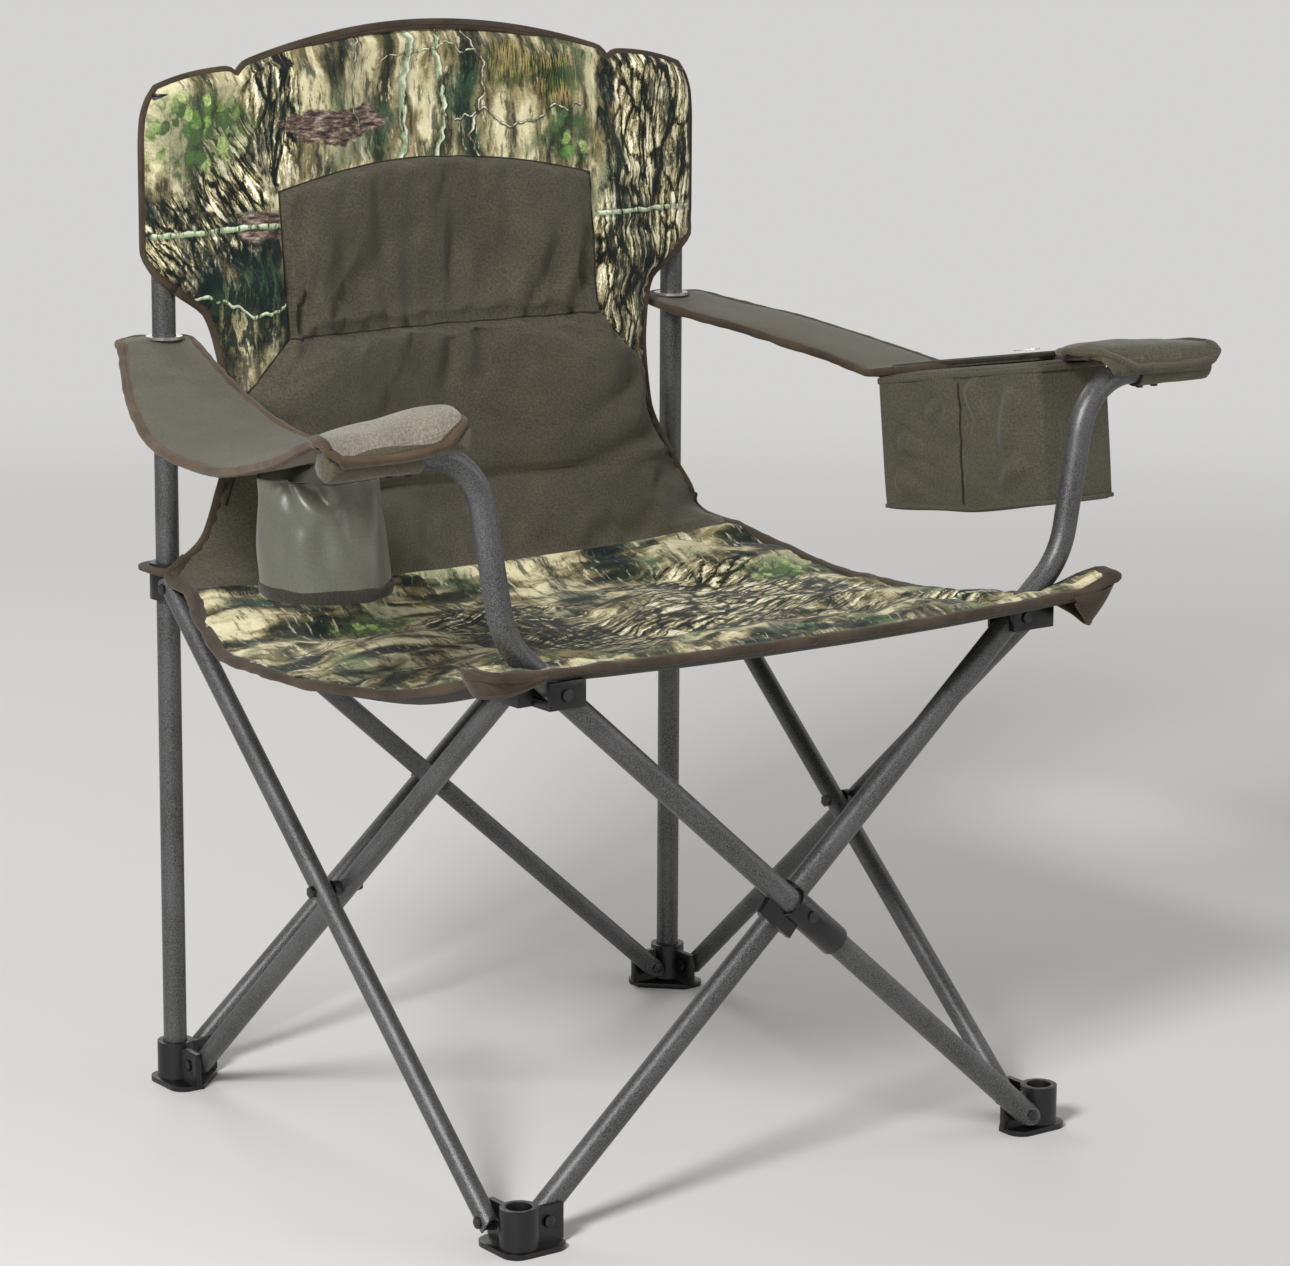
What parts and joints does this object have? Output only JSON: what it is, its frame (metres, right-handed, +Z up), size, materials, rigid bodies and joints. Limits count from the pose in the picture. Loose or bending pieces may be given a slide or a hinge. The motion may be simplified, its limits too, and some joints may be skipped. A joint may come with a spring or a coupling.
{
  "type": "folding camp armchair",
  "caption": "Folding camp armchair: a four-sided scissor frame of tubes, padded back, sling seat, fabric armrests, cup holder and soft cooler.",
  "frame": {"origin": "on the floor, under the middle of the open chair's outer box", "axes": "+X to the right in a front view, +Y to the back, +Z up"},
  "size_m": [0.9808, 0.6592, 0.996],
  "materials": {
    "tube_paint": "hammered grey powder coat",
    "moulded_black": "satin moulded",
    "rivet_steel": "plated",
    "eyelet_metal": "pressed",
    "woodland_fabric": "printed woven polyester",
    "brown_fabric": "woven polyester",
    "olive_fabric": "woven polyester",
    "olive_satin": "coated nylon"
  },
  "bodies": {
    "left_post": {"foot_rear_left": "moulded_black", "foot_rivets_rear_left": "rivet_steel", "rear_post_left": "tube_paint", "post_cap_left": "moulded_black", "post_pocket_left": "woodland_fabric", "back_shell_left": "woodland_fabric", "back_pad_left": "brown_fabric"},
    "right_post": {"foot_rear_right": "moulded_black", "foot_rivets_rear_right": "rivet_steel", "rear_post_right": "tube_paint", "post_cap_right": "moulded_black", "post_pocket_right": "woodland_fabric", "back_shell_right": "woodland_fabric", "back_pad_right": "brown_fabric"},
    "rear_outer_tube": {"rear_brace_outer": "tube_paint", "rear_crossing_bolt": "rivet_steel"},
    "rear_inner_tube": {"rear_brace_inner": "tube_paint"},
    "left_collar": {"collar_left": "moulded_black", "collar_rivets_left": "rivet_steel", "rear_tab_left": "brown_fabric", "tab_grommet_left": "eyelet_metal"},
    "right_collar": {"collar_right": "moulded_black", "collar_rivets_right": "rivet_steel", "rear_tab_right": "brown_fabric", "tab_grommet_right": "eyelet_metal"},
    "left_inner_tube": {"left_brace_inner": "tube_paint"},
    "left_outer_tube": {"left_brace_outer": "tube_paint", "left_crossing_bolt": "rivet_steel"},
    "right_inner_tube": {"right_brace_inner": "tube_paint"},
    "right_outer_tube": {"right_brace_outer": "tube_paint", "right_crossing_bolt": "rivet_steel"},
    "left_hub": {"hub_left": "moulded_black", "hub_rivets_left": "rivet_steel", "corner_pocket_left": "brown_fabric"},
    "right_hub": {"hub_right": "moulded_black", "hub_rivets_right": "rivet_steel", "corner_pocket_right": "brown_fabric"},
    "left_front_foot": {"foot_front_left": "moulded_black", "foot_rivets_front_left": "rivet_steel"},
    "right_front_foot": {"foot_front_right": "moulded_black", "foot_rivets_front_right": "rivet_steel"},
    "left_arm_tube": {"front_tube_left_arm": "tube_paint", "front_clamp_left_arm": "moulded_black", "arm_sleeve_left": "olive_fabric", "sleeve_screws_left": "rivet_steel"},
    "right_arm_tube": {"front_tube_right_arm": "tube_paint", "front_clamp_right_arm": "moulded_black", "front_clamp_rivet": "rivet_steel", "arm_sleeve_right": "olive_fabric", "sleeve_screws_right": "rivet_steel"},
    "left_seat": {"seat_left": "woodland_fabric"},
    "right_seat": {"seat_right": "woodland_fabric"},
    "left_armrest": {"armrest_left": "olive_fabric", "cup_holder": "olive_satin"},
    "right_armrest": {"armrest_right": "olive_fabric", "cooler_body": "olive_fabric"},
    "cooler_lid": {"cooler_lid": "olive_fabric"},
    "left_eyelet": {"armrest_eyelet_left": "eyelet_metal"},
    "right_eyelet": {"armrest_eyelet_right": "eyelet_metal"}
  },
  "joints": [
    {"name": "fold", "type": "hinge", "parent": "left_post", "child": "rear_outer_tube", "pos_m": [-0.262, 0.301, 0.022], "axis": [0, -1, 0], "range_deg": [0, 45], "deforming": ["back_shell_left", "back_shell_right", "back_pad_left", "back_pad_right", "post_pocket_left", "post_pocket_right", "seat_left", "seat_right", "rear_tab_left", "rear_tab_right", "corner_pocket_left", "corner_pocket_right", "armrest_left", "armrest_right", "cup_holder", "cooler_body"]},
    {"name": "rear_crossing", "type": "hinge", "parent": "rear_outer_tube", "child": "rear_inner_tube", "pos_m": [0, 0.288, 0.2535], "axis": [0, 1, 0], "range_deg": [0, 90]},
    {"name": "rear_right_foot", "type": "hinge", "parent": "rear_inner_tube", "child": "right_post", "pos_m": [0.262, 0.275, 0.022], "axis": [0, -1, 0], "range_deg": [0, 45]},
    {"name": "right_collar_pivot", "type": "hinge", "parent": "rear_outer_tube", "child": "right_collar", "pos_m": [0.262, 0.301, 0.485], "axis": [0, 1, 0], "range_deg": [0, 45]},
    {"name": "left_collar_pivot", "type": "hinge", "parent": "rear_inner_tube", "child": "left_collar", "pos_m": [-0.262, 0.275, 0.485], "axis": [0, -1, 0], "range_deg": [0, 45]},
    {"name": "left_side_fold", "type": "hinge", "parent": "left_post", "child": "left_inner_tube", "pos_m": [-0.278, 0.259, 0.022], "axis": [-1, 0, 0], "range_deg": [0, 45]},
    {"name": "left_hub_pivot", "type": "hinge", "parent": "left_inner_tube", "child": "left_hub", "pos_m": [-0.278, -0.265, 0.485], "axis": [1, 0, 0], "range_deg": [0, 45]},
    {"name": "left_crossing", "type": "hinge", "parent": "left_inner_tube", "child": "left_outer_tube", "pos_m": [-0.291, -0.003, 0.2535], "axis": [1, 0, 0], "range_deg": [0, 90]},
    {"name": "front_left_foot", "type": "hinge", "parent": "left_outer_tube", "child": "left_front_foot", "pos_m": [-0.304, -0.265, 0.022], "axis": [-1, 0, 0], "range_deg": [0, 45]},
    {"name": "front_fold", "type": "hinge", "parent": "left_front_foot", "child": "right_arm_tube", "pos_m": [-0.262, -0.2795, 0.022], "axis": [0, -1, 0], "range_deg": [0, 45]},
    {"name": "right_hub_pivot", "type": "hinge", "parent": "right_arm_tube", "child": "right_hub", "pos_m": [0.262, -0.2795, 0.485], "axis": [0, 1, 0], "range_deg": [0, 45]},
    {"name": "front_crossing", "type": "hinge", "parent": "right_arm_tube", "child": "left_arm_tube", "pos_m": [0, -0.294, 0.2535], "axis": [0, 1, 0], "range_deg": [0, 90]},
    {"name": "front_right_foot", "type": "hinge", "parent": "left_arm_tube", "child": "right_front_foot", "pos_m": [0.262, -0.3085, 0.022], "axis": [0, -1, 0], "range_deg": [0, 45]},
    {"name": "right_side_fold", "type": "hinge", "parent": "right_front_foot", "child": "right_inner_tube", "pos_m": [0.278, -0.265, 0.022], "axis": [1, 0, 0], "range_deg": [0, 45]},
    {"name": "right_crossing", "type": "hinge", "parent": "right_inner_tube", "child": "right_outer_tube", "pos_m": [0.291, -0.003, 0.2535], "axis": [-1, 0, 0], "range_deg": [0, 90]},
    {"name": "left_seat_fold", "type": "hinge", "parent": "left_collar", "child": "left_seat", "pos_m": [-0.291, 0.288, 0.5], "axis": [0, 1, 0], "range_deg": [0, 80]},
    {"name": "right_seat_fold", "type": "hinge", "parent": "right_collar", "child": "right_seat", "pos_m": [0.291, 0.288, 0.5], "axis": [0, -1, 0], "range_deg": [0, 80]},
    {"name": "left_armrest_swing", "type": "hinge", "parent": "left_arm_tube", "child": "left_armrest", "pos_m": [-0.44, -0.3085, 0.696], "axis": [-1, 0, 0], "range_deg": [0, 61]},
    {"name": "right_armrest_swing", "type": "hinge", "parent": "right_arm_tube", "child": "right_armrest", "pos_m": [0.44, -0.2795, 0.696], "axis": [-1, 0, 0], "range_deg": [0, 66]},
    {"name": "left_eyelet_slide", "type": "slide", "parent": "left_post", "child": "left_eyelet", "axis": [0, 0, 1], "range_m": [0, 0.034]},
    {"name": "right_eyelet_slide", "type": "slide", "parent": "right_post", "child": "right_eyelet", "axis": [0, 0, 1], "range_m": [0, 0.034]},
    {"name": "cooler_lid_hinge", "type": "hinge", "parent": "right_armrest", "child": "cooler_lid", "pos_m": [0.388, 0.0135, 0.66709], "axis": [-1, 0, 0], "range_deg": [0, 100]}
  ],
  "couplings": [
    {"joint": "rear_crossing", "follows": "fold", "ratio": 2},
    {"joint": "rear_right_foot", "follows": "fold", "ratio": 1},
    {"joint": "right_collar_pivot", "follows": "fold", "ratio": 1},
    {"joint": "left_collar_pivot", "follows": "fold", "ratio": 1},
    {"joint": "left_side_fold", "follows": "fold", "ratio": 1},
    {"joint": "left_hub_pivot", "follows": "fold", "ratio": 1},
    {"joint": "left_crossing", "follows": "fold", "ratio": 2},
    {"joint": "front_left_foot", "follows": "fold", "ratio": 1},
    {"joint": "front_fold", "follows": "fold", "ratio": 1},
    {"joint": "right_hub_pivot", "follows": "fold", "ratio": 1},
    {"joint": "front_crossing", "follows": "fold", "ratio": 2},
    {"joint": "front_right_foot", "follows": "fold", "ratio": 1},
    {"joint": "right_side_fold", "follows": "fold", "ratio": 1},
    {"joint": "right_crossing", "follows": "fold", "ratio": 2},
    {"joint": "left_seat_fold", "follows": "fold", "ratio": 1.7778},
    {"joint": "right_seat_fold", "follows": "fold", "ratio": 1.7778},
    {"joint": "left_armrest_swing", "follows": "fold", "ratio": 1.3556},
    {"joint": "right_armrest_swing", "follows": "fold", "ratio": 1.4667},
    {"joint": "left_eyelet_slide", "follows": "fold", "m_per_rad": 0.04329},
    {"joint": "right_eyelet_slide", "follows": "fold", "m_per_rad": 0.04329}
  ]
}
